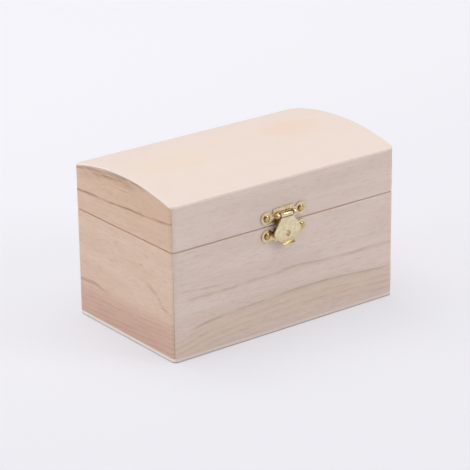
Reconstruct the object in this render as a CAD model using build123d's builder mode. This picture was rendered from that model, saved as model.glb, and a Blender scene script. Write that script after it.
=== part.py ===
from build123d import *
import os
from math import sqrt

# A small domed keepsake chest of thin unfinished boards, with a brass catch on its front and two
# small brass hinges behind. Millimetres. The origin is the middle of the footprint on the table,
# +X runs to the right along the front, +Y to the back and +Z up.

# The case
case_length = 125.0
case_depth = 74.0
seam_height = 51.3
lid_front_height = 21.0
crown_rise = 5.3
board_thickness = 6.0
bottom_thickness = 2.0
sheet_thickness = 0.9
corner_radius = 2.5

# Working of the edges: what sandpaper takes off, and the hair's breadth between lid and base
seam_gap = 0.2
seam_easing = 0.7
sheet_easing = 0.5
bottom_easing = 0.4

# Sheet brass and wire, the same for the catch and for the hinges
strip_thickness = 0.6
pin_radius = 0.55
pin_clearance = 0.05
hinge_knuckle_play = 0.12
roll_degrees = 280.0

# Nails: the wood in front of a point stays whole, so no nail shows inside the case
nail_shank_radius = 0.6
nail_point_length = 1.4
nail_point_bevel = 0.45
nail_hole_clearance = 0.02
nail_cover = 1.0
nail_sides = 8
head_sides = 24
head_bevel_share = 0.5
head_rim_share = 0.25

# The latch: its two plates have an ear for a nail at each end. The whole of it is nailed on a
# little left of the middle and not quite level.
latch_offset = -2.1
latch_tilt = 2.2
latch_nail_spacing = 19.2
latch_ear_radius = 2.9
latch_head_radius = 1.75
latch_head_height = 0.8
plate_thickness = 0.7
plate_corner_radius = 0.7
step_fillet_share = 0.45

# The hasp plate on the lid, with two rolled knuckles, measured up from the seam
hasp_nail_height = 4.7
hasp_neck_low = 2.1
hasp_neck_high = 6.2
hasp_middle_width = 11.4
hasp_middle_low = 0.9
hasp_middle_high = 7.9
hasp_axis_height = 5.0
hasp_roll_gap = 0.15
hasp_knuckle_width = 1.3
hasp_knuckle_play = 0.7

# The flap, measured down from the axis that it hangs on
flap_barrel_width = 6.5
flap_width = 15.0
flap_wide_drop = 7.4
flap_lower_width = 13.8
flap_lower_drop = 9.7
flap_corner_radius = 1.4
flap_length = 12.8
flap_hole_drop = 9.0
flap_hole_radius = 1.4
lip_width = 6.8
lip_bend_radius = 0.8
lip_bend_degrees = 62.0
lip_reach = 0.7

# The catch plate on the base, with the pressed stud that the flap's hole drops over, measured
# down from the seam
catch_nail_drop = 3.7
catch_neck_top = 2.2
catch_neck_bottom = 6.3
catch_middle_width = 12.0
catch_middle_top = 1.1
catch_middle_bottom = 7.2
stud_foot_radius = 2.6
stud_radius = 1.0
stud_bevel = 0.3
stud_short = 0.15

# The hinges behind
hinge_inset = 27.0
hinge_width = 16.0
hinge_knuckles = 3
leaf_height = 8.0
leaf_corner_radius = 1.0
leaf_nail_spacing = 9.0
leaf_nail_height = 4.9
leaf_head_radius = 1.3
leaf_head_height = 0.4

# Worked out from the sizes above
half_length = case_length / 2
half_depth = case_depth / 2
inner_length = case_length - 2 * board_thickness
inner_depth = case_depth - 2 * board_thickness
base_rim_height = seam_height - seam_gap / 2
lid_rim_height = seam_height + seam_gap / 2
crown_height = seam_height + lid_front_height + crown_rise
crown_radius = (half_depth**2 + crown_rise**2) / (2 * crown_rise)
crown_centre_height = crown_height - crown_radius
under_sheet_radius = crown_radius - sheet_thickness
nail_depth = board_thickness - nail_cover
nail_hole_radius = nail_shank_radius + nail_hole_clearance
bore_radius = pin_radius + pin_clearance
roll_radius = bore_radius + strip_thickness / 2
knuckle_radius = bore_radius + strip_thickness
hasp_axis_out = plate_thickness + hasp_roll_gap + knuckle_radius
flap_inner_face_out = hasp_axis_out + bore_radius
hasp_pin_length = flap_barrel_width + 2 * (hasp_knuckle_play + hasp_knuckle_width)
hinge_knuckle_width = (hinge_width - (hinge_knuckles - 1) * hinge_knuckle_play) / hinge_knuckles

# Faces that the brass lies on: in each, x runs along the face, y up and z out of the wood,
# and the height is counted from the seam
latch_level = Vector(1, 0, 0).rotate(-Axis.Y, latch_tilt)
front_face = Plane(origin=(latch_offset, -half_depth, seam_height), x_dir=latch_level, z_dir=(0, -1, 0))
back_face_left = Plane(
    origin=(hinge_inset - half_length, half_depth, seam_height), x_dir=(-1, 0, 0), z_dir=(0, 1, 0)
)
back_face_right = Plane(
    origin=(half_length - hinge_inset, half_depth, seam_height), x_dir=(-1, 0, 0), z_dir=(0, 1, 0)
)


def side_view(face, along=0.0):
    """The plane across a face at this distance along it: x runs out of the wood and y up."""
    return Plane(origin=face.from_local_coords((along, 0, 0)), x_dir=face.z_dir, z_dir=-face.x_dir)


def nail_pair(spacing, height):
    """Where two nails go in a face."""
    return [(-spacing / 2, height), (spacing / 2, height)]


hasp_nail_places = nail_pair(latch_nail_spacing, hasp_nail_height)
catch_nail_places = nail_pair(latch_nail_spacing, -catch_nail_drop)
lid_leaf_nail_places = nail_pair(leaf_nail_spacing, leaf_nail_height)
base_leaf_nail_places = nail_pair(leaf_nail_spacing, -leaf_nail_height)


# The boards: a rounded ring of wall for the base and one for the lid, cut apart at the mitres
def arch_section(radius):
    """End view of the lid, from its rim up to an arch of this radius."""
    shoulder_height = crown_centre_height + sqrt(radius**2 - half_depth**2)
    with BuildSketch(Plane.YZ) as section:
        with BuildLine():
            Polyline(
                (-half_depth, shoulder_height),
                (-half_depth, lid_rim_height),
                (half_depth, lid_rim_height),
                (half_depth, shoulder_height),
            )
            ThreePointArc(
                (half_depth, shoulder_height),
                (0, crown_centre_height + radius),
                (-half_depth, shoulder_height),
            )
        make_face()
    return section.sketch


def arched_block(radius):
    """Block with the lid's plan, its four upright edges rounded, under an arch of this radius."""
    with BuildPart() as block:
        extrude(arch_section(radius), amount=half_length, both=True)
        fillet(block.edges().filter_by(Axis.Z), radius=corner_radius)
    return block.part


def mitred_board(ring, outward, along, reach_out, reach_along, drilled=()):
    """The side of a ring that faces outward, cut off along both its mitres and drilled for nails."""
    outward = Vector(*outward)
    along = Vector(*along)
    with BuildPart() as piece:
        add(ring)
        split(bisect_by=Plane(origin=(0, 0, 0), z_dir=outward), keep=Keep.TOP)
        for end in (along, -along):
            corner = outward * reach_out + end * reach_along
            split(bisect_by=Plane(origin=corner, z_dir=outward - end), keep=Keep.TOP)
        for face, places in drilled:
            with BuildSketch(face):
                with Locations(*places):
                    RegularPolygon(nail_hole_radius, nail_sides)
            extrude(amount=-nail_depth, mode=Mode.SUBTRACT)
    return piece


with BuildPart() as base_ring:
    with BuildSketch(Plane.XY.offset(bottom_thickness)):
        RectangleRounded(case_length, case_depth, corner_radius)
        Rectangle(inner_length, inner_depth, mode=Mode.SUBTRACT)
    extrude(amount=base_rim_height - bottom_thickness)
    fillet(base_ring.faces().sort_by(Axis.Z)[-1].outer_wire().edges(), radius=seam_easing)

with BuildPart() as lid_ring:
    add(arched_block(under_sheet_radius))
    with BuildSketch(Plane.XY.offset(lid_rim_height)):
        Rectangle(inner_length, inner_depth)
    extrude(amount=crown_height - lid_rim_height, mode=Mode.SUBTRACT)
    fillet(lid_ring.faces().sort_by(Axis.Z)[0].outer_wire().edges(), radius=seam_easing)

base_front_board = mitred_board(
    base_ring.part, (0, -1, 0), (1, 0, 0), half_depth, half_length, [(front_face, catch_nail_places)]
)
base_back_board = mitred_board(
    base_ring.part,
    (0, 1, 0),
    (1, 0, 0),
    half_depth,
    half_length,
    [(back_face_left, base_leaf_nail_places), (back_face_right, base_leaf_nail_places)],
)
base_left_board = mitred_board(base_ring.part, (-1, 0, 0), (0, 1, 0), half_length, half_depth)
base_right_board = mitred_board(base_ring.part, (1, 0, 0), (0, 1, 0), half_length, half_depth)

lid_front_rail = mitred_board(
    lid_ring.part, (0, -1, 0), (1, 0, 0), half_depth, half_length, [(front_face, hasp_nail_places)]
)
lid_back_rail = mitred_board(
    lid_ring.part,
    (0, 1, 0),
    (1, 0, 0),
    half_depth,
    half_length,
    [(back_face_left, lid_leaf_nail_places), (back_face_right, lid_leaf_nail_places)],
)
lid_left_arch = mitred_board(lid_ring.part, (-1, 0, 0), (0, 1, 0), half_length, half_depth)
lid_right_arch = mitred_board(lid_ring.part, (1, 0, 0), (0, 1, 0), half_length, half_depth)

# The bottom board is glued under the ring, flush with it all round
with BuildPart() as bottom_board:
    with BuildSketch():
        RectangleRounded(case_length, case_depth, corner_radius)
    extrude(amount=bottom_thickness)
    chamfer(bottom_board.faces().sort_by(Axis.Z)[0].edges(), length=bottom_easing)

# The top is one thin sheet, bent over both arches and glued down, its upper edge sanded round
with BuildPart() as lid_top_sheet:
    add(arched_block(crown_radius))
    crown = lid_top_sheet.faces().filter_by(GeomType.CYLINDER).sort_by(SortBy.AREA)[-1]
    fillet(crown.outer_wire().edges(), radius=sheet_easing)
    extrude(arch_section(under_sheet_radius), amount=case_length, both=True, mode=Mode.SUBTRACT)


# Brass pieces that come more than once
def eared_outline(middle_width, middle_low, middle_high, neck_low, neck_high, nail_places):
    """Stamped plate in front view: a middle, two necks and a round ear for each nail."""
    reach = latch_nail_spacing / 2
    with BuildSketch() as outline:
        with Locations((0, (middle_low + middle_high) / 2)):
            Rectangle(middle_width, middle_high - middle_low)
        with Locations((0, (neck_low + neck_high) / 2)):
            Rectangle(latch_nail_spacing, neck_high - neck_low)
        with Locations(*nail_places):
            Circle(latch_ear_radius)
        corners = outline.vertices().filter_by_position(Axis.X, -reach, reach)
        lesser_step = min(middle_high - neck_high, neck_low - middle_low)
        fillet(corners, radius=min(plate_corner_radius, lesser_step * step_fillet_share))
        with Locations(*nail_places):
            RegularPolygon(nail_hole_radius, nail_sides, mode=Mode.SUBTRACT)
    return outline.sketch


def nail(plate, head_radius, head_height):
    """One nail: its bevelled head stands on the plane z = 0, its pointed shank goes down from it."""
    with BuildPart() as piece:
        with BuildSketch():
            RegularPolygon(nail_shank_radius, nail_sides)
        extrude(amount=-plate - nail_depth)
        end = piece.faces().sort_by(Axis.Z)[0]
        chamfer(end.edges(), length=nail_point_bevel, length2=nail_point_length, reference=end)
        with BuildSketch():
            RegularPolygon(head_radius, head_sides)
        extrude(amount=head_height)
        crown = piece.faces().sort_by(Axis.Z)[-1]
        chamfer(
            crown.edges(),
            length=head_radius * head_bevel_share,
            length2=head_height * (1 - head_rim_share),
            reference=crown,
        )
    return piece.part


def nails(face, places, plate, head_radius, head_height):
    """Nails driven square into a face, their heads down on a plate of this thickness."""
    with BuildPart() as group:
        with Locations(face):
            with Locations(*[(along, height, plate) for along, height in places]):
                add(nail(plate, head_radius, head_height))
    return group


def pin(face, axis_out, axis_height, length):
    """Wire pin lying along a face."""
    with BuildPart() as wire:
        with BuildSketch(side_view(face)):
            with Locations((axis_out, axis_height)):
                Circle(pin_radius)
        extrude(amount=length / 2, both=True)
    return wire


# The hasp plate: its knuckles are tabs bent out of the plate and rolled round the pin
with BuildPart() as hasp_plate:
    with BuildSketch(front_face):
        add(
            eared_outline(
                hasp_middle_width,
                hasp_middle_low,
                hasp_middle_high,
                hasp_neck_low,
                hasp_neck_high,
                hasp_nail_places,
            )
        )
    extrude(amount=plate_thickness)
    for side in (-1, 1):
        knuckle_middle = side * (flap_barrel_width / 2 + hasp_knuckle_play + hasp_knuckle_width / 2)
        with BuildSketch(side_view(front_face, knuckle_middle)):
            with BuildLine() as tab:
                Line((0, hasp_axis_height - roll_radius), (hasp_axis_out, hasp_axis_height - roll_radius))
                CenterArc((hasp_axis_out, hasp_axis_height), roll_radius, -90, roll_degrees)
            trace(tab.line, line_width=strip_thickness)
        extrude(amount=hasp_knuckle_width / 2, both=True)

# The flap is one strip, rolled at the top and turned out at the bottom, then trimmed to its outline
with BuildPart() as hasp_flap:
    with BuildSketch(side_view(front_face)):
        with BuildLine() as strip:
            CenterArc((hasp_axis_out, hasp_axis_height), roll_radius, 0, roll_degrees)
            drop = Line(
                (hasp_axis_out + roll_radius, hasp_axis_height),
                (hasp_axis_out + roll_radius, hasp_axis_height - flap_length),
            )
            bend = JernArc(drop @ 1, drop % 1, lip_bend_radius, lip_bend_degrees)
            Line(bend @ 1, bend @ 1 + (bend % 1) * lip_reach)
        trace(strip.line, line_width=strip_thickness)
    extrude(amount=flap_width / 2, both=True)
    with BuildSketch(front_face) as flap_outline:
        with BuildLine():
            top = hasp_axis_height + knuckle_radius
            lip_top = hasp_axis_height - flap_length
            foot = lip_top - lip_bend_radius - lip_reach - strip_thickness
            Polyline(
                (0, top),
                (flap_barrel_width / 2, top),
                (flap_barrel_width / 2, hasp_axis_height - knuckle_radius),
                (flap_width / 2, hasp_axis_height - flap_wide_drop),
                (flap_lower_width / 2, hasp_axis_height - flap_lower_drop),
                (lip_width / 2, lip_top),
                (lip_width / 2, foot),
                (0, foot),
            )
            mirror(about=Plane.YZ)
        make_face()
        shoulders = flap_outline.vertices().sort_by(Axis.X)
        fillet(shoulders[:2] + shoulders[-2:], radius=flap_corner_radius)
    extrude(amount=case_depth, mode=Mode.INTERSECT)
    with Locations(front_face):
        with Locations((0, hasp_axis_height - flap_hole_drop)):
            Hole(radius=flap_hole_radius)

hasp_pin = pin(front_face, hasp_axis_out, hasp_axis_height, hasp_pin_length)
hasp_plate_nails = nails(
    front_face, hasp_nail_places, plate_thickness, latch_head_radius, latch_head_height
)

# The catch plate, with its stud drawn up out of the sheet to just behind the flap
with BuildPart() as catch_plate:
    with BuildSketch(front_face):
        add(
            eared_outline(
                catch_middle_width,
                -catch_middle_bottom,
                -catch_middle_top,
                -catch_neck_bottom,
                -catch_neck_top,
                catch_nail_places,
            )
        )
    extrude(amount=plate_thickness)
    stud_place = front_face.from_local_coords((0, hasp_axis_height - flap_hole_drop, 0))
    with BuildSketch(Plane(origin=stud_place, x_dir=front_face.x_dir, z_dir=-front_face.y_dir)):
        with BuildLine():
            stud_top = flap_inner_face_out - stud_short
            Polyline(
                (0, 0),
                (stud_foot_radius, 0),
                (stud_foot_radius, plate_thickness),
                (stud_radius, stud_top - stud_bevel),
                (stud_radius - stud_bevel, stud_top),
                (0, stud_top),
                close=True,
            )
        make_face()
    revolve(axis=Axis(stud_place, front_face.z_dir))

catch_nails = nails(
    front_face, catch_nail_places, plate_thickness, latch_head_radius, latch_head_height
)


# The hinges: each leaf is a strip rolled round the pin, cut away where the other's knuckles turn
def hinge_leaf(face, upward, knuckle_steps):
    """One leaf, on the lid (upward 1) or the base (upward -1), with a knuckle at each step along."""
    clear_of_knuckles = knuckle_radius + hinge_knuckle_play
    with BuildPart() as leaf:
        with BuildSketch(face) as blade:
            with Locations((0, upward * (clear_of_knuckles + leaf_height) / 2)):
                Rectangle(hinge_width, leaf_height - clear_of_knuckles)
            far_corners = blade.vertices().sort_by(Axis.Z, reverse=upward > 0)[:2]
            fillet(far_corners, radius=leaf_corner_radius)
            with Locations(*nail_pair(leaf_nail_spacing, upward * leaf_nail_height)):
                RegularPolygon(nail_hole_radius, nail_sides, mode=Mode.SUBTRACT)
        extrude(amount=strip_thickness)
        for step in knuckle_steps:
            along = step * (hinge_knuckle_width + hinge_knuckle_play)
            with BuildSketch(side_view(face, along)):
                with BuildLine() as strip:
                    Line((strip_thickness / 2, upward * clear_of_knuckles * 2), (strip_thickness / 2, 0))
                    CenterArc((knuckle_radius, 0), roll_radius, 180, upward * roll_degrees)
                trace(strip.line, line_width=strip_thickness)
            extrude(amount=hinge_knuckle_width / 2, both=True)
    return leaf


def write(piece, name):
    """Label a piece and write it under its own name."""
    piece.part.label = name
    export_step(piece.part, f"parts/{name}.step")


os.makedirs("parts", exist_ok=True)

write(bottom_board, "bottom_board")
write(base_front_board, "base_front_board")
write(base_back_board, "base_back_board")
write(base_left_board, "base_left_board")
write(base_right_board, "base_right_board")
write(lid_front_rail, "lid_front_rail")
write(lid_back_rail, "lid_back_rail")
write(lid_left_arch, "lid_left_arch")
write(lid_right_arch, "lid_right_arch")
write(lid_top_sheet, "lid_top_sheet")
write(hasp_plate, "hasp_plate")
write(hasp_flap, "hasp_flap")
write(hasp_pin, "hasp_pin")
write(hasp_plate_nails, "hasp_plate_nails")
write(catch_plate, "catch_plate")
write(catch_nails, "catch_nails")

for hand, face in (("left", back_face_left), ("right", back_face_right)):
    write(hinge_leaf(face, -1, (-1, 1)), f"{hand}_hinge_base_leaf")
    write(hinge_leaf(face, 1, (0,)), f"{hand}_hinge_lid_leaf")
    write(pin(face, knuckle_radius, 0, hinge_width), f"{hand}_hinge_pin")
    write(
        nails(face, base_leaf_nail_places, strip_thickness, leaf_head_radius, leaf_head_height),
        f"{hand}_hinge_base_nails",
    )
    write(
        nails(face, lid_leaf_nail_places, strip_thickness, leaf_head_radius, leaf_head_height),
        f"{hand}_hinge_lid_nails",
    )
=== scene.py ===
# %% [markdown]
# # A small domed wooden chest with a brass catch
# The chest is made of thin sanded boards with no finish on them, and its lid is one thin sheet
# bent over two arched ends. The model of the boards and the brass comes from the CAD frame, at its
# real size. Blender adds what a drawing can't hold: the grain, the dull shine of pressed brass,
# the softened edges of the stampings, and the light that shows them.

# %% Load the frame
import math

import bmesh
import bpy
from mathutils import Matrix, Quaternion, Vector


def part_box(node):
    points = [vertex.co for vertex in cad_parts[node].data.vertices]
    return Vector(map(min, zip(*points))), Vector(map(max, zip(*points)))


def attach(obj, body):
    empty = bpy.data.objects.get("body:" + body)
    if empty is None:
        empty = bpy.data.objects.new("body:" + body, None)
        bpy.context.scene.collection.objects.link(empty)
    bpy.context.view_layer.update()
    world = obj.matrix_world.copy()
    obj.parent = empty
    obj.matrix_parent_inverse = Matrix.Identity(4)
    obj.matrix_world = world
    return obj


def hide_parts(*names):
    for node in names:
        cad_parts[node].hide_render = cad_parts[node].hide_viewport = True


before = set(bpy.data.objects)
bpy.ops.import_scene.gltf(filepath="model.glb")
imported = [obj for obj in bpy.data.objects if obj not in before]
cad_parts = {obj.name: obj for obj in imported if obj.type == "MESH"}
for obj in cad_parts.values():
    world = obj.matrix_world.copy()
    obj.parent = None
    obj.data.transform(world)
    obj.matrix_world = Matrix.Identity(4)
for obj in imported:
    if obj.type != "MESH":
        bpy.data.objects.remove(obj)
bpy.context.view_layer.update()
scene = bpy.context.scene
MM = 0.001
case_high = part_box("bottom_board")[1]
half_length = case_high.x / MM
half_depth = case_high.y / MM
seam_height = (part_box("base_front_board")[1].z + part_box("lid_front_rail")[0].z) / 2 / MM
print("case in mm:", round(2 * half_length, 1), "by", round(2 * half_depth, 1))
print("seam at", round(seam_height, 1), "mm")

# %% [markdown]
# ## The camera
# A photographer stands well back from a small box and uses a long lens, so that its edges stay
# nearly parallel. The camera looks slightly down at a point inside the chest. A camera in Blender
# looks along its own minus Z, so a direction is turned into a rotation with to_track_quat, and a
# small turn about the line of sight gives the tilt of a hand-held picture.

# %% Camera
camera_turn = math.radians(-37.155)
camera_rise = math.radians(21.229)
camera_tilt = math.radians(-0.708)
camera_distance = 1052.54 * MM
look_at = Vector((6.37, 9.48, 29.36)) * MM

toward_camera = Vector((
    math.sin(camera_turn) * math.cos(camera_rise),
    -math.cos(camera_turn) * math.cos(camera_rise),
    math.sin(camera_rise),
))
camera_data = bpy.data.cameras.new("camera")
camera_data.sensor_width = 36.0
camera_data.lens = 174.73
camera = bpy.data.objects.new("camera", camera_data)
camera.rotation_mode = "QUATERNION"
camera.location = look_at + toward_camera * camera_distance
camera.rotation_quaternion = (
    (-toward_camera).to_track_quat("-Z", "Y") @ Quaternion((0, 0, 1), camera_tilt)
)
scene.collection.objects.link(camera)
scene.camera = camera
scene.view_settings.view_transform = "Standard"
print("camera at", [round(value / MM) for value in camera.location], "mm")

# %% [markdown]
# ## Helpers for materials
# A material here is a chain of nodes, and a few short helpers keep the chains readable. One turns a
# colour as it is named in a paint shop, from 0 to 255, into the linear values that the renderer
# works with. One adds a node, sets it up and plugs in its inputs. The others do a sum, fade from one
# level to another, lay one colour over another, and tint a material that is finished.

# %% Material helpers
def paint(red, green, blue):
    """A colour from 0 to 255 as the eye sees it, as linear light, by the sRGB standard."""
    linear = []
    for channel in (red, green, blue):
        share = channel / 255
        linear.append(share / 12.92 if share <= 0.04045 else ((share + 0.055) / 1.055) ** 2.4)
    return (*linear, 1.0)


def add(tree, kind, inputs=(), **settings):
    """Add one shader node: settings are its options, inputs are values or other nodes' outputs."""
    node = tree.nodes.new("ShaderNode" + kind)
    for name, value in settings.items():
        setattr(node, name, value)
    for socket, value in dict(inputs).items():
        if isinstance(value, bpy.types.NodeSocket):
            tree.links.new(value, node.inputs[socket])
        else:
            node.inputs[socket].default_value = value
    return node


def new_material(name):
    """A material with an empty tree but for its Principled shader."""
    material = bpy.data.materials.new(name)
    material.use_nodes = True
    material.node_tree.nodes.clear()
    shader = add(material.node_tree, "BsdfPrincipled")
    output = add(material.node_tree, "OutputMaterial")
    material.node_tree.links.new(shader.outputs["BSDF"], output.inputs["Surface"])
    return material, shader


def math_node(tree, operation, first, second=0.0):
    """One sum on a value that changes over the surface."""
    return add(tree, "Math", {0: first, 1: second}, operation=operation).outputs[0]


def fade(tree, value, start, end, to_low=0.0, to_high=1.0):
    """Runs smoothly from to_low at start to to_high at end."""
    node = add(
        tree,
        "MapRange",
        {"Value": value, "From Min": start, "From Max": end, "To Min": to_low, "To Max": to_high},
        interpolation_type="SMOOTHSTEP",
    )
    return node.outputs["Result"]


def blend(tree, mask, under, over):
    """Lays one colour over another where the mask is high."""
    node = add(tree, "Mix", data_type="RGBA")
    for socket, value in ((0, mask), (6, under), (7, over)):
        if isinstance(value, bpy.types.NodeSocket):
            tree.links.new(value, node.inputs[socket])
        else:
            node.inputs[socket].default_value = value
    return node.outputs[2]


def tint_where(material, mask, tint):
    """Lay one more colour over a finished material."""
    tree = material.node_tree
    shader = next(node for node in tree.nodes if node.type == "BSDF_PRINCIPLED")
    under = shader.inputs["Base Color"].links[0].from_socket
    tree.links.new(blend(tree, mask, under, tint), shader.inputs["Base Color"])


print("middle grey as linear light:", round(paint(128, 128, 128)[0], 3))

# %% [markdown]
# ## The paper
# The picture was taken on a white sweep of paper. A big floor stands for it, with a faint fleck. Its colour
# is painted a little dimmer in front, as painted shade for being further from the lamps. Seen by the camera
# or in the brass it adds some light of its own, so it stays near white while the chest still casts its
# faint shadow.

# %% Paper floor
floor_half = 3.0
paper_far = paint(243, 242, 247)
paper_near = paint(235, 234, 239)
paper_glow_share = 0.5
near_end = -0.15
far_end = 0.4
paper_roughness = 0.9
paper_sheen = 0.1
paper_flecks = 60.0
paper_relief = 0.05

floor_mesh = bpy.data.meshes.new("paper_floor")
floor_mesh.from_pydata(
    [(-floor_half, -floor_half, 0), (floor_half, -floor_half, 0),
     (floor_half, floor_half, 0), (-floor_half, floor_half, 0)],
    [],
    [(0, 1, 2, 3)],
)
floor = bpy.data.objects.new("paper_floor", floor_mesh)
scene.collection.objects.link(floor)

paper, paper_shader = new_material("paper")
tree = paper.node_tree
paper_depth = add(tree, "SeparateXYZ", {0: add(tree, "TexCoord").outputs["Object"]}).outputs["Y"]
# Painted shade: the paper's colour is dimmer towards the front.
paper_colour = blend(tree, fade(tree, paper_depth, near_end, far_end), paper_near, paper_far)
tree.links.new(paper_colour, paper_shader.inputs["Base Color"])
paper_shader.inputs["Roughness"].default_value = paper_roughness
paper_shader.inputs["Specular IOR Level"].default_value = paper_sheen
paper_fleck = add(tree, "TexNoise", {"Scale": paper_flecks, "Detail": 4.0}).outputs[0]
paper_bump = add(tree, "Bump", {"Strength": paper_relief, "Distance": MM, "Height": paper_fleck})
tree.links.new(paper_bump.outputs[0], paper_shader.inputs["Normal"])
glow = add(tree, "Emission", {"Color": paper_colour, "Strength": 1.0})
ray = add(tree, "LightPath").outputs
seen = math_node(tree, "MAXIMUM", ray["Is Camera Ray"], ray["Is Glossy Ray"])
seen = math_node(tree, "MAXIMUM", seen, ray["Is Transmission Ray"])
glow_share = math_node(tree, "MULTIPLY", seen, paper_glow_share)
glow_mix = add(tree, "MixShader", {0: glow_share, 1: paper_shader.outputs[0], 2: glow.outputs[0]})
paper_output = next(node for node in tree.nodes if node.type == "OUTPUT_MATERIAL")
tree.links.new(glow_mix.outputs[0], paper_output.inputs["Surface"])
floor_mesh.materials.append(paper)
print("paper", 2 * floor_half, "m across")

# %% [markdown]
# ## The light all round
# The world gives the light that comes from all round: pale at the foot, where the paper curves up,
# dark above it, where the room is dark, and bright only overhead. Brass shows its surroundings, so
# that dark band is what draws its edges. The heights are those of a direction: 0 level, 1 straight up.

# %% World
paper_heights = (0.10, 0.18)
paper_light = 0.5
overhead_heights = (0.72, 0.92)
room_light = 0.3
overhead_light = 1.8
light_tint = (0.97, 0.98, 1.0, 1.0)

world = bpy.data.worlds.new("soft_room")
world.use_nodes = True
tree = world.node_tree
tree.nodes.clear()
direction = add(tree, "TexCoord").outputs["Generated"]
height = add(tree, "SeparateXYZ", {0: direction}).outputs["Z"]
above_dark = fade(tree, height, *overhead_heights, room_light, overhead_light)
paper_edge = fade(tree, height, *paper_heights, paper_light, 0.0)
level = math_node(tree, "ADD", above_dark, paper_edge)
background = add(tree, "Background", {"Color": light_tint, "Strength": level})
world_output = add(tree, "OutputWorld")
tree.links.new(background.outputs[0], world_output.inputs["Surface"])
scene.world = world
print("light from the room", room_light, "and from overhead", overhead_light)

# %% [markdown]
# ## The lamps
# Three large soft lamps light the chest. One stands behind it and throws its shadow on the paper in
# front, one lights its left end from behind, and the smallest, on the right, draws the bright line on
# the rolled brass. The left one isn't mirrored in the brass, whose left flanks stay dark.

# %% Lamps
def soft_lamp(name, place, size, watts):
    """A square lamp with a cloth front, aimed at the chest."""
    data = bpy.data.lights.new(name, "AREA")
    data.shape = "SQUARE"
    data.size = size
    data.energy = watts
    lamp = bpy.data.objects.new(name, data)
    lamp.location = place
    lamp.rotation_mode = "QUATERNION"
    lamp.rotation_quaternion = (look_at - Vector(place)).to_track_quat("-Z", "Y")
    scene.collection.objects.link(lamp)
    return lamp


soft_lamp("back_lamp", place=(-0.1, 0.9, 1.3), size=0.9, watts=4.0)
left_lamp = soft_lamp("left_lamp", place=(-1.4, 0.45, 0.7), size=0.8, watts=4.0)
left_lamp.visible_glossy = False
soft_lamp("right_lamp", place=(0.9, -1.13, 0.8), size=0.6, watts=5.5)

# %% [markdown]
# ## Sanded bare wood
# Every board is cut along the tree, so its grain runs lengthwise. Three things make such wood look
# real: broad soft changes of tone, fine marks drawn out along the board, and a few growth lines.
# Noise that is stretched along the board gives the first two. It is looked up in millimetres on the
# board itself, so it keeps its scale and moves with the lid. Each kind of mark is listed once, with
# its usual length and width in millimetres.

# %% Marks drawn out along a board
# Each kind is its length, its width and its own place in the noise. For some kinds the detail and
# the roughness of the noise follow, where they differ from the usual ones.
broad_tone = (70.0, 8.0, 0.0, 2.0)
slow_wander = (22.0, 6.0, 7.7)
ring_breaks = (18.0, 3.0, 2.2)
line_breaks = (12.0, 2.0, 5.3)
fine_fibre = (26.0, 0.8, 3.1)
warm_mottle = (9.0, 2.4, 13.6, 4.0, 0.65)
mark_crowding = (16.0, 5.0, 15.2)
short_dashes = (4.5, 0.6, 9.4, 5.0, 0.75)
long_strokes = (24.0, 0.7, 17.9, 5.0, 0.6)
open_pores = (5.0, 0.35, 11.0, 2.0)

# The level of its noise at which a kind of mark begins, and the one at which it is full.
broad_levels = (0.35, 0.68)
ring_levels = (0.36, 0.62)
line_levels = (0.3, 0.6)
fibre_levels = (0.45, 0.75)
mottle_levels = (0.48, 0.74)
crowd_levels = (0.34, 0.66)
dash_levels = (0.47, 0.8)
pale_dash_levels = (0.46, 0.22)
stroke_levels = (0.58, 0.72)
pore_levels = (0.60, 0.74)
wander_height = 2.2


def surface_places(tree):
    """Where a point of the surface lies, in millimetres."""
    where = add(tree, "TexCoord").outputs["Object"]
    scaled = add(tree, "VectorMath", {0: where, "Scale": 1 / MM}, operation="SCALE").outputs[0]
    parts = add(tree, "SeparateXYZ", {0: scaled})
    return scaled, parts.outputs["X"], parts.outputs["Y"], parts.outputs["Z"]


class Board:
    """The shader of one board: its colour so far, and where its surface and its grain lie."""

    def __init__(self, name, along, seed, tone):
        self.material, self.shader = new_material(name)
        self.tree = self.material.node_tree
        self.along = along
        self.seed = seed
        self.colour = tone
        self.places, self.x, self.y, self.z = surface_places(self.tree)
        self.run = self.x if along == "X" else self.y
        self.half_run = half_length if along == "X" else half_depth
        from_middle = self.math("SUBTRACT", self.marks(*slow_wander), 0.5)
        self.wobble = self.math("MULTIPLY", from_middle, wander_height)
        self.rise = self.math("ADD", self.z, self.wobble)

    def math(self, operation, first, second=0.0):
        """One sum on values of this board."""
        return math_node(self.tree, operation, first, second)

    def fade(self, value, start, end, to_low=0.0, to_high=1.0):
        """A smooth run between two levels on this board."""
        return fade(self.tree, value, start, end, to_low, to_high)

    def lay(self, mask, tint):
        """Lay a colour over the board where the mask is high."""
        self.colour = blend(self.tree, mask, self.colour, tint)

    def marks(self, length, width, place, detail=3.0, roughness=0.55):
        """Noise drawn out along the board: each mark is about this long and this wide."""
        across = 1 / width
        scale = (1 / length, across, across) if self.along == "X" else (across, 1 / length, across)
        place += self.seed
        stretched = add(
            self.tree, "Mapping", {"Vector": self.places, "Scale": scale, "Location": (place, place, place)}
        )
        noise = add(
            self.tree,
            "TexNoise",
            {"Vector": stretched.outputs[0], "Scale": 1.0, "Detail": detail, "Roughness": roughness},
        )
        return noise.outputs[0]


print("mark widths in mm:", short_dashes[1], "dashes,", fine_fibre[1], "fibre,", open_pores[1], "pores")

# %% [markdown]
# ## Growth lines drawn from given points
# A growth line is one year of the tree, cut through. It wanders slowly along the board and is sharp
# on one side and soft on the other. A Float Curve node gives the height of each line at each place
# along the board, in the way a pencil would draw it. Lower down the boards, where the wood is
# stained browner or redder, the edge of the stain is repeated downwards as a row of faint rings. A
# patch is a cloudy spot of another colour, such as a peeled sheet has.

# %% Lines, bands and patches
pencil_top = 80.0
line_end_length = 8.0
least_line_share = 0.3
least_ring_share = 0.1
ring_start_share = 0.2
ring_peak_share = 0.86
past_reach_share = 0.35
patch_edge = 1.6


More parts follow.
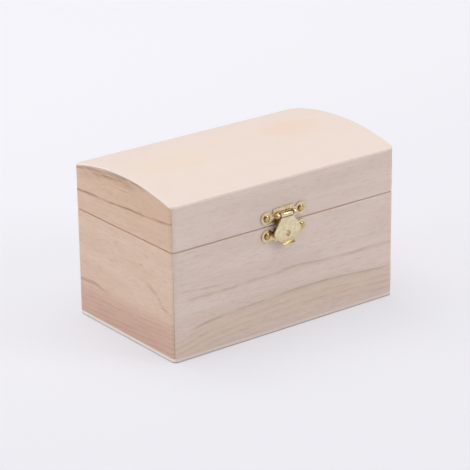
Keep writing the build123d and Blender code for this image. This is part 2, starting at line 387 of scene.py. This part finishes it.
def drawn_line(board, points):
    """How far a point lies above a line that is drawn along the board from given points, in millimetres."""
    tree, reach = board.tree, board.half_run
    along = add(tree, "MapRange", {"Value": board.run, "From Min": -reach, "From Max": reach})
    curve = add(tree, "FloatCurve", {"Value": along.outputs["Result"]})
    pencil = curve.mapping.curves[0]
    shares = [((place + reach) / (2 * reach), height / pencil_top) for place, height in points]
    pencil.points[0].location = shares[0]
    pencil.points[1].location = shares[-1]
    for share in shares[1:-1]:
        pencil.points.new(*share)
    curve.mapping.update()
    line = board.math("MULTIPLY", curve.outputs[0], pencil_top)
    return board.math("SUBTRACT", board.rise, line)


def lay_line(board, points, from_run, to_run, soft, sharp, strength, dark):
    """A growth line: soft wide below it, sharp above it, broken, and fading at both its ends."""
    above = drawn_line(board, points)
    mask = board.math("MULTIPLY", board.fade(above, -soft, 0.0), board.fade(above, 0.0, sharp, 1.0, 0.0))
    begun = board.fade(board.run, from_run, from_run + line_end_length)
    not_over = board.fade(board.run, to_run - line_end_length, to_run, 1.0, 0.0)
    mask = board.math("MULTIPLY", board.math("MULTIPLY", mask, begun), not_over)
    uneven = board.fade(board.marks(*line_breaks), *line_levels, least_line_share, 1.0)
    board.lay(board.math("MULTIPLY", board.math("MULTIPLY", mask, uneven), strength), dark)


def lay_band(board, points, width, reach, strength, stain, gap, ring_strength, ring_tone):
    """Stained wood from a drawn line down, weaker past its reach, with rings that follow the line."""
    above = drawn_line(board, points)
    weaker = board.fade(above, -reach, -reach / 2, past_reach_share, 1.0)
    stained = board.math("MULTIPLY", board.fade(above, -width, width, 1.0, 0.0), weaker)
    board.lay(board.math("MULTIPLY", stained, strength), stain)
    place = board.math("FRACT", board.math("DIVIDE", above, gap))
    soft_side = board.fade(place, ring_start_share, ring_peak_share)
    sharp_side = board.fade(place, ring_peak_share, 1.0, 1.0, 0.0)
    rings = board.math("MULTIPLY", board.math("MULTIPLY", soft_side, sharp_side), stained)
    broken = board.fade(board.marks(*ring_breaks), *ring_levels, least_ring_share, ring_strength)
    board.lay(board.math("MULTIPLY", rings, broken), ring_tone)


def lay_patch(board, middle_x, middle_y, reach_x, reach_y, strength, tint):
    """A cloudy patch of another colour."""
    away = []
    for value, middle, reach in ((board.x, middle_x, reach_x), (board.y, middle_y, reach_y)):
        share = board.math("DIVIDE", board.math("SUBTRACT", value, middle), reach)
        away.append(board.math("POWER", share, 2.0))
    cloudy = board.math("ADD", board.math("ADD", *away), board.wobble)
    board.lay(board.fade(cloudy, 0.0, patch_edge, strength, 0.0), tint)


print("lines are drawn up to", pencil_top, "mm above the table")

# %% [markdown]
# ## One board's finish
# The layers go on in the order in which the wood got them: the tone of the tree, its stains and
# growth lines, then the fibre, the small dark marks and the pores that the saw opened. The boards
# meet in mitres at the corners, which show as a hairline down each rounded edge, fainter further
# up. Fibre and pores also make the faint relief that keeps sanded wood from looking like plastic.

# %% Bare wood
broad_share = 0.6
fibre_share = 0.45
mottle_share = 0.32
dash_share = 0.6
pale_dash_share = 0.6
least_crowd_share = 0.35
pore_dark_share = 0.10
warm_tone = paint(222, 188, 158)
stroke_tone = paint(164, 112, 84)
pore_tone = paint(120, 88, 66)
hairline_tone = paint(120, 96, 80)
hairline_widths = (0.05, 0.3)
hairline_heights = (20.0, 52.0)
hairline_shares = (0.45, 0.12)
dull_levels = (0.3, 0.7)
dull_range = (0.55, 0.68)
wood_sheen = 0.3
relief_strength = 0.25
relief_depth = 0.05
fibre_relief_share = 0.6


def lay_marks(board, tone, deep, fleck_tone, fleck, bold):
    """The fine marks of the wood. Gives back the fibre and the pores, which also make its relief."""
    fine = board.marks(*fine_fibre)
    board.lay(board.fade(fine, *fibre_levels, 0.0, fibre_share * fleck), deep)
    board.lay(board.fade(board.marks(*warm_mottle), *mottle_levels, 0.0, mottle_share * fleck), warm_tone)
    crowd = board.fade(board.marks(*mark_crowding), *crowd_levels, least_crowd_share, 1.0)
    dashes = board.marks(*short_dashes)
    dark = board.fade(dashes, *dash_levels, 0.0, dash_share * fleck)
    board.lay(board.math("MULTIPLY", dark, crowd), fleck_tone)
    board.lay(board.fade(dashes, *pale_dash_levels, 0.0, pale_dash_share * dash_share * fleck), tone)
    board.lay(board.fade(board.marks(*long_strokes), *stroke_levels, 0.0, bold), stroke_tone)
    pores = board.marks(*open_pores)
    board.lay(board.math("MULTIPLY", board.fade(pores, *pore_levels), pore_dark_share * fleck), pore_tone)
    return fine, pores


def mitre_hairline(board):
    """1 on the hairline where two boards meet at a corner, 0 elsewhere."""
    from_end = board.math("SUBTRACT", board.math("ABSOLUTE", board.x), half_length)
    from_face = board.math("SUBTRACT", board.math("ABSOLUTE", board.y), half_depth)
    apart = board.math("ABSOLUTE", board.math("SUBTRACT", from_end, from_face))
    return board.fade(apart, *hairline_widths, 1.0, 0.0)


def bare_wood(
    name, along, tone, deep, fleck_tone, lines=(), band=(), patches=(),
    seed=0.0, fleck=1.0, bold=0.0, mitred=True,
):
    """Sanded unfinished wood whose grain runs along X or Y.

    tone, deep and fleck_tone are its paler colour, its deeper colour and the brown of its marks.
    lines, band and patches hold what lay_line, lay_band and lay_patch take after the board, but the
    band's rings always take the brown of the marks. fleck is how strong the fine marks are, and bold
    how dark the few long ones are.
    """
    board = Board(name, along, seed, tone)
    broad = board.marks(*broad_tone)
    board.lay(board.fade(broad, *broad_levels, 0.0, broad_share * min(fleck, 1.0)), deep)
    for patch in patches:
        lay_patch(board, *patch)
    if band:
        lay_band(board, *band, fleck_tone)
    for line in lines:
        lay_line(board, *line)
    fine, pores = lay_marks(board, tone, deep, fleck_tone, fleck, bold)
    height = board.math("ADD", board.math("MULTIPLY", fine, fibre_relief_share), pores)
    if mitred:
        hairline = mitre_hairline(board)
        fainter = board.fade(board.z, *hairline_heights, *hairline_shares)
        board.lay(board.math("MULTIPLY", hairline, fainter), hairline_tone)
        height = board.math("SUBTRACT", height, hairline)

    tree, shader = board.tree, board.shader
    tree.links.new(board.colour, shader.inputs["Base Color"])
    tree.links.new(board.fade(fine, *dull_levels, *dull_range), shader.inputs["Roughness"])
    shader.inputs["Specular IOR Level"].default_value = wood_sheen
    bump = add(tree, "Bump", {"Strength": relief_strength, "Distance": relief_depth * MM, "Height": height})
    tree.links.new(bump.outputs[0], shader.inputs["Normal"])
    return board.material


def finish_with(material, *nodes):
    """Give CAD nodes their finish."""
    for node in nodes:
        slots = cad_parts[node].material_slots
        if not slots:
            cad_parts[node].data.materials.append(material)
        for material_slot in slots:
            material_slot.material = material
    print(material.name, "on", ", ".join(nodes))


print("bare wood: pores darken it by up to", pore_dark_share)

# %% [markdown]
# ## The front and the back
# The front board is a cool, slightly pink cream. A thin growth line crosses it just above the
# middle, with a shorter one over it at the left corner. Its lower third is browner, under a third
# line that rises in the middle of the board. The rail above it comes from quieter wood, without
# lines. The back, which the photograph doesn't show, is of the same wood with two lines of its own.

# %% Front and back boards
front_tone = paint(227, 209, 198)
front_deep = paint(217, 198, 185)
front_fleck = paint(184, 156, 136)
front_line = paint(182, 150, 126)
front_stain = paint(221, 197, 177)
front_lines = (
    ([(-62, 32.8), (-50, 32.0), (-40, 31.3), (0, 31.0), (62, 31.0)], -62, -34, 1.3, 0.5, 0.5, front_line),
    ([(-60, 28.6), (-32, 28.1), (-8.5, 28.7), (7.8, 29.3), (24.3, 27.9), (43.7, 27.6), (62, 27.4)],
     -58, 66, 2.0, 0.6, 0.5, front_line),
    ([(-60, 12.5), (-40, 16.0), (-16.7, 17.2), (0, 17.7), (32.7, 17.4), (49.8, 15.8), (62, 15.5)],
     -56, 70, 1.8, 0.7, 0.6, front_line),
)
front_band = (
    [(-60, 10.5), (-40, 14.5), (-16.7, 16.2), (0, 16.7), (32.7, 16.4), (49.8, 15.0), (62, 14.7)],
    4.0, 13.0, 0.65, front_stain, 3.0, 0.32,
)
finish_with(
    bare_wood(
        "front_board_wood", "X", front_tone, front_deep, front_fleck, front_lines, front_band,
        seed=1.0, fleck=1.15, bold=0.12,
    ),
    "base_front_board",
)
finish_with(
    bare_wood("front_rail_wood", "X", front_tone, front_deep, front_fleck, seed=4.0),
    "lid_front_rail",
)
back_lines = (
    ([(-62, 36.0), (-20, 37.5), (20, 36.2), (62, 38.0)], -66, 40, 2.0, 0.6, 0.45, front_line),
    ([(-62, 20.0), (-10, 22.0), (30, 21.0), (62, 23.5)], -40, 70, 3.0, 0.7, 0.5, front_line),
)
finish_with(
    bare_wood("back_board_wood", "X", front_tone, front_deep, front_fleck, back_lines, seed=8.0),
    "base_back_board", "lid_back_rail",
)

# %% [markdown]
# ## The ends
# The end boards are warmer. The arched end of the lid carries one strong dark growth line from back to
# front, a brown band close under the sheet with a rusty streak in it, and a pinkish glow near the front
# corner. That brown band is partly a dark streak in the wood and partly painted shadow under the sheet's
# edge. The base end has a short line low at the back, redder wood along its foot, and a small flame figure
# near the front corner. The right end is guessed: one quiet line.

# %% End boards
end_tone = paint(234, 207, 187)
end_deep = paint(226, 195, 173)
end_fleck = paint(188, 146, 122)
end_line = paint(156, 94, 66)
end_stain = paint(214, 176, 160)
end_halo = paint(228, 188, 172)
arch_tone = paint(229, 200, 175)
arch_deep = paint(219, 185, 158)
arch_streak_and_shadow = paint(160, 120, 100)
end_rust = paint(184, 124, 90)
arch_lines = (
    ([(-37, 64.9), (-14.4, 63.1), (7.5, 62.1), (37, 60.7)], -44, -14, 5.0, 3.5, 0.4, end_halo),
    ([(-37, 64.9), (-14.4, 63.1), (7.5, 62.1), (37, 60.7)], -44, 44, 1.3, 0.45, 0.8, end_line),
    # These two brown lines are partly a dark streak in the wood and partly painted shadow under the sheet's
    # edge.
    ([(-37, 69.5), (-15, 73.4), (0, 74.2), (20, 72.4), (37, 68.8)], -14, 34, 4.5, 2.0, 0.4, arch_streak_and_shadow),
    ([(-37, 70.6), (-15, 75.2), (-3, 75.9), (8.4, 75.4), (20.2, 73.9), (33.8, 71.4), (37, 70.7)],
     -22, 44, 1.3, 1.3, 0.75, arch_streak_and_shadow),
    ([(-37, 70.5), (0, 74.4), (10.1, 73.6), (17.9, 72.8), (37, 70.0)], -8, 26, 1.6, 0.5, 0.75, end_rust),
)
left_lines = (
    ([(-37, 16.0), (14.0, 17.8), (23.4, 19.2), (34.1, 18.1), (37, 17.9)], 10, 44, 2.2, 0.8, 0.5, end_line),
    ([(-37, 22.5), (-31.7, 23.2), (-24.5, 28.9), (-16.1, 32.3), (37, 40.0)],
     -38, -14, 3.0, 1.2, 0.45, end_fleck),
)
left_band = (
    [(-37, 18.2), (-30.4, 17.8), (7.8, 15.2), (33.5, 13.6), (37, 13.4)],
    4.0, 34.0, 0.75, end_stain, 2.2, 0.38,
)
finish_with(
    bare_wood(
        "left_end_wood", "Y", end_tone, end_deep, end_fleck, left_lines, left_band,
        seed=2.0, fleck=1.2, bold=0.12,
    ),
    "base_left_board",
)
finish_with(
    bare_wood(
        "left_arch_wood", "Y", arch_tone, arch_deep, end_fleck, arch_lines, seed=6.0, fleck=1.3, bold=0.2
    ),
    "lid_left_arch",
)
right_lines = (
    ([(-37, 30.0), (0, 31.5), (37, 30.5)], -44, 44, 2.0, 0.6, 0.45, end_line),
)
finish_with(
    bare_wood("right_end_wood", "Y", end_tone, end_deep, end_fleck, right_lines, seed=12.0),
    "base_right_board", "lid_right_arch",
)

# %% [markdown]
# ## The bent sheet and the bottom
# The top is a thin peeled sheet, paler and smoother than the boards, with a very faint figure: one peach
# patch and one yellowish patch. Its cut ends get painted light, which makes them paler still. The bottom
# board under the walls is pale too, with painted light on its ends, and its eased lower edge gets a grey
# painted contact shadow where it meets the table.

# %% Sheet and bottom
sheet_tone = paint(237, 219, 207)
sheet_deep = paint(234, 213, 199)
sheet_fleck = paint(226, 200, 178)
sheet_end_light = paint(252, 242, 236)
foot_tone = paint(232, 217, 207)
foot_deep = paint(224, 208, 196)
foot_end_light = paint(248, 238, 231)
foot_contact_shadow = paint(120, 112, 112)
contact_shadow_heights = (0.35, 0.75)
contact_shadow_share = 0.75
end_turns = (0.5, 0.9)
sheet_patches = (
    (34.0, 3.0, 15.0, 11.0, 0.45, paint(240, 208, 184)),
    (-35.0, -2.0, 20.0, 9.0, 0.35, paint(238, 216, 190)),
)
sheet_wood = bare_wood(
    "top_sheet_wood", "X", sheet_tone, sheet_deep, sheet_fleck,
    patches=sheet_patches, seed=20.0, fleck=0.2, mitred=False,
)
finish_with(sheet_wood, "lid_top_sheet")
foot_wood = bare_wood(
    "bottom_wood", "X", foot_tone, foot_deep, front_fleck, seed=24.0, fleck=0.3, mitred=False
)
finish_with(foot_wood, "bottom_board")


def facing_right(tree):
    """How far a face looks to the right: 1 right, 0 front or up, -1 left."""
    return add(tree, "SeparateXYZ", {0: add(tree, "TexCoord").outputs["Normal"]}).outputs["X"]


def faces_end(tree):
    """1 on faces that look left or right, 0 elsewhere."""
    return fade(tree, math_node(tree, "ABSOLUTE", facing_right(tree)), *end_turns)


# Painted light: faces that look left or right, the cut ends of the sheet and the bottom, are made paler.
tint_where(sheet_wood, faces_end(sheet_wood.node_tree), sheet_end_light)
tint_where(foot_wood, faces_end(foot_wood.node_tree), foot_end_light)
# Painted contact shadow: the lowest part of the bottom board's eased edge turns grey where it meets the
# table.
foot_height = surface_places(foot_wood.node_tree)[3]
contact_shadowed = fade(foot_wood.node_tree, foot_height, *contact_shadow_heights, contact_shadow_share, 0.0)
tint_where(foot_wood, contact_shadowed, foot_contact_shadow)

# %% [markdown]
# ## Brass
# The fittings are thin pressed brass with a thin bright coat: pale gold, a little cloudy, with fine
# scratches from handling. Metal has no colour of its own but the colour of its reflections, so the
# finish is a metallic Principled shader whose colour and roughness both vary slowly, and whose bump
# is only just there. The flap is the palest piece.

# %% Brass finish
clouds_per_mm = 0.55
cloud_levels = (0.36, 0.66)
scratches_per_mm = (1.2, 1.2, 9.0)
scratch_turns = (0.3, 0.5, 0.0)
scratch_levels = (0.35, 0.7)
roughness_shares = (0.8, 1.3)
brass_relief_strength = 0.05
brass_relief_depth = 0.03
scratch_relief_share = 0.3


def pressed_brass(name, pale, deep, roughness):
    """Thin coated brass, cloudy and lightly scratched."""
    material, shader = new_material(name)
    tree = material.node_tree
    places = surface_places(tree)[0]
    cloudy = {"Vector": places, "Scale": clouds_per_mm, "Detail": 4.0, "Roughness": 0.6}
    cloud = add(tree, "TexNoise", cloudy).outputs[0]
    colour = blend(tree, fade(tree, cloud, *cloud_levels), pale, deep)
    turned = {"Vector": places, "Scale": scratches_per_mm, "Rotation": scratch_turns}
    scratched = {"Vector": add(tree, "Mapping", turned).outputs[0], "Scale": 1.0, "Detail": 3.0}
    scratch = add(tree, "TexNoise", scratched).outputs[0]
    tree.links.new(colour, shader.inputs["Base Color"])
    shader.inputs["Metallic"].default_value = 1.0
    smoothest, roughest = (roughness * share for share in roughness_shares)
    rough = fade(tree, scratch, *scratch_levels, smoothest, roughest)
    tree.links.new(rough, shader.inputs["Roughness"])
    height = math_node(tree, "ADD", cloud, math_node(tree, "MULTIPLY", scratch, scratch_relief_share))
    relief = {"Strength": brass_relief_strength, "Distance": brass_relief_depth * MM, "Height": height}
    bump = add(tree, "Bump", relief)
    tree.links.new(bump.outputs[0], shader.inputs["Normal"])
    return material


sheet_brass = pressed_brass("sheet_brass", paint(231, 213, 183), paint(215, 191, 150), 0.26)
flap_brass = pressed_brass("flap_brass", paint(234, 222, 190), paint(222, 204, 160), 0.22)
nail_brass = pressed_brass("nail_brass", paint(216, 188, 136), paint(184, 150, 98), 0.15)
# The pins' brass is darker. This is partly painted shade for the pin ends seen inside the shaded rolls.
wire_brass = pressed_brass("wire_brass", paint(206, 184, 136), paint(176, 146, 98), 0.3)
print("brass:", [brass.name for brass in (sheet_brass, flap_brass, nail_brass, wire_brass)])

# %% [markdown]
# ## Painted light on the brass
# A browner reflection is painted on the flap's bend just above its lip. Shade is painted in the folds above
# and below the flap's roll, which draws the roll's outline. The nail heads get painted shade on their left
# flank. Each is one more colour over the finished brass; the flap's two are placed by the boxes of the flap
# and its pin in the frame, the flanks by the way each face looks.

# %% Painted reflection at the lip, shaded folds and shaded flanks
bend_reflection_tone = paint(206, 178, 126)
bend_reflection_heights = (1.6, 4.2)
bend_reflection_share = 0.7
fold_shade_tone = paint(124, 94, 56)
fold_drop = 1.0
fold_widths = (0.15, 0.5)
over_roll_heights = (0.55, 0.95)
fold_shade_share = 0.8
flank_shade_tone = paint(112, 78, 42)
flank_turns = (-0.05, -0.55)
flank_shade_share = 0.7


def paint_flap_light(material):
    """A painted browner reflection on the bend at the lip, and painted shade in the folds above and below
    the roll.
    """
    tree = material.node_tree
    height = surface_places(tree)[3]
    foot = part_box("hasp_flap")[0].z / MM
    pin_low, pin_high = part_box("hasp_pin")
    from_pin = math_node(tree, "SUBTRACT", height, (pin_low.z + pin_high.z) / 2 / MM)
    from_fold = math_node(tree, "ABSOLUTE", math_node(tree, "ADD", from_pin, fold_drop))
    under_roll = fade(tree, from_fold, *fold_widths, fold_shade_share, 0.0)
    over_roll = fade(tree, from_pin, *over_roll_heights, 0.0, fold_shade_share)
    reflection_start, reflection_end = (foot + above for above in bend_reflection_heights)
    tint_where(material, fade(tree, height, reflection_start, reflection_end, bend_reflection_share, 0.0), bend_reflection_tone)
    tint_where(material, math_node(tree, "MAXIMUM", under_roll, over_roll), fold_shade_tone)
    # Prints where the painted reflection above the lip ends, and the height of the pin.
    print("painted reflection up to", round(reflection_end, 1), "mm, pin at", round((pin_low.z + pin_high.z) / 2 / MM, 1), "mm")


def shade_nail_flanks(material):
    """Painted shade on the left flank of each nail head."""
    tree = material.node_tree
    tint_where(material, fade(tree, facing_right(tree), *flank_turns, 0.0, flank_shade_share), flank_shade_tone)


paint_flap_light(flap_brass)
shade_nail_flanks(nail_brass)

# %% [markdown]
# ## Softened stampings
# A press leaves the edges of thin brass slightly rounded, and that rounding is what catches the
# light along every outline. The stampings come over from the frame with sharp edges, so each one
# is copied, its doubled points are merged, and a Bevel modifier rounds only the edges that turn
# sharply. The copy then stands for the sharp one.

# %% Stampings with rounded edges
merge_distance = 0.002 * MM
sharp_turn = math.radians(32)
smooth_turn = math.radians(38)
latch_rounding = 0.1
leaf_rounding = 0.08


def rounded_copy(node, body, finish, round_mm):
    """A copy of a CAD node with its sharp edges rounded, which stands for that node."""
    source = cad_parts[node]
    mesh = source.data.copy()
    edit = bmesh.new()
    edit.from_mesh(mesh)
    bmesh.ops.remove_doubles(edit, verts=edit.verts, dist=merge_distance)
    edit.to_mesh(mesh)
    edit.free()
    if mesh.attributes.get("custom_normal"):
        mesh.attributes.remove(mesh.attributes["custom_normal"])
    piece = bpy.data.objects.new(node + "_softened", mesh)
    scene.collection.objects.link(piece)
    mesh.materials.clear()
    mesh.materials.append(finish)
    rounding = piece.modifiers.new("rounding", "BEVEL")
    rounding.width = round_mm * MM
    rounding.segments = 2
    rounding.limit_method = "ANGLE"
    rounding.angle_limit = sharp_turn
    rounding.use_clamp_overlap = True
    rounding.harden_normals = False
    solid = bpy.data.meshes.new_from_object(
        piece.evaluated_get(bpy.context.evaluated_depsgraph_get())
    )
    piece.modifiers.clear()
    piece.data = solid
    solid.shade_smooth()
    solid.set_sharp_from_angle(angle=smooth_turn)
    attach(piece, body)
    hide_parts(node)
    print(node, "rounded:", len(source.data.polygons), "faces became", len(solid.polygons))
    return piece


rounded_copy("hasp_plate", "lid", sheet_brass, latch_rounding)
rounded_copy("hasp_flap", "hasp", flap_brass, latch_rounding)
rounded_copy("catch_plate", "base", sheet_brass, latch_rounding)
for hand in ("left", "right"):
    rounded_copy(hand + "_hinge_base_leaf", "base", sheet_brass, leaf_rounding)
    rounded_copy(hand + "_hinge_lid_leaf", "lid", sheet_brass, leaf_rounding)
finish_with(wire_brass, "hasp_pin", "left_hinge_pin", "right_hinge_pin")

# %% [markdown]
# ## Round-headed nails
# Each nail has a small domed head, raised with one blow of a die, and a shank that is hidden in
# the wood. A dome is a turned shape, so its half outline is written once and spun about the nail's
# own line. Where each nail sits, and where its crown and its point lie, is read from the frame.

# %% Nails with domed heads
spin_steps = 40
dome_rows = 7
shank_radius = 0.6 * MM
point_radius = 0.12 * MM
point_length = 1.4 * MM
rim_share = 0.12
seat_share = 0.97
dome_power = 0.9
crease_turn = math.radians(50)

# The radius of a head and its height.
latch_head = (1.75 * MM, 0.8 * MM)
hinge_head = (1.3 * MM, 0.4 * MM)


def nail_centres(node):
    """The middles of a node's two nails, seen from the front."""
    points = [vertex.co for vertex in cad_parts[node].data.vertices]
    middle = sum(point.x for point in points) / len(points)
    centres = []
    for group in ([p for p in points if p.x < middle], [p for p in points if p.x > middle]):
        across = [point.x for point in group]
        heights = [point.z for point in group]
        centres.append(((min(across) + max(across)) / 2, (min(heights) + max(heights)) / 2))
    return centres


def nail_outline(head_radius, head_height, seat_y, shank_end, outward):
    """Half the outline of a nail from its point to the crown of its head: (radius, y)."""
    outline = [
        (0.0, shank_end),
        (point_radius, shank_end),
        (shank_radius, shank_end + outward * point_length),
        (shank_radius, seat_y),
        (head_radius * seat_share, seat_y),
    ]
    for row in range(dome_rows + 1):
        turn = math.radians(90) * row / dome_rows
        radius = head_radius * math.cos(turn) ** dome_power if row < dome_rows else 0.0
        rise_share = rim_share + (1 - rim_share) * math.sin(turn)
        outline.append((radius, seat_y + outward * head_height * rise_share))
    return outline


def domed_nails(node, body, head_radius, head_height):
    """Two nails with domed heads in place of the frame's plainer ones, square to the front or back."""
    low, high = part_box(node)
    outward = -1.0 if low.y < 0 else 1.0
    crown_y, shank_end = (low.y, high.y) if outward < 0 else (high.y, low.y)
    outline = nail_outline(head_radius, head_height, crown_y - outward * head_height, shank_end, outward)
    edit = bmesh.new()
    for centre_x, centre_z in nail_centres(node):
        rim = [edit.verts.new((centre_x + radius, place_y, centre_z)) for radius, place_y in outline]
        edges = [edit.edges.new(pair) for pair in zip(rim, rim[1:])]
        bmesh.ops.spin(
            edit,
            geom=rim + edges,
            cent=(centre_x, 0, centre_z),
            axis=(0, 1, 0),
            angle=math.radians(360),
            steps=spin_steps,
            use_merge=True,
        )
    bmesh.ops.remove_doubles(edit, verts=edit.verts, dist=merge_distance)
    bmesh.ops.recalc_face_normals(edit, faces=edit.faces)
    mesh = bpy.data.meshes.new(node + "_domed")
    edit.to_mesh(mesh)
    edit.free()
    mesh.shade_smooth()
    mesh.set_sharp_from_angle(angle=crease_turn)
    mesh.materials.append(nail_brass)
    piece = bpy.data.objects.new(node + "_domed", mesh)
    scene.collection.objects.link(piece)
    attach(piece, body)
    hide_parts(node)
    print(node, "heads", round(2 * head_radius / MM, 2), "mm across")
    return piece


domed_nails("hasp_plate_nails", "lid", *latch_head)
domed_nails("catch_nails", "base", *latch_head)
for hand in ("left", "right"):
    domed_nails(hand + "_hinge_base_nails", "base", *hinge_head)
    domed_nails(hand + "_hinge_lid_nails", "lid", *hinge_head)
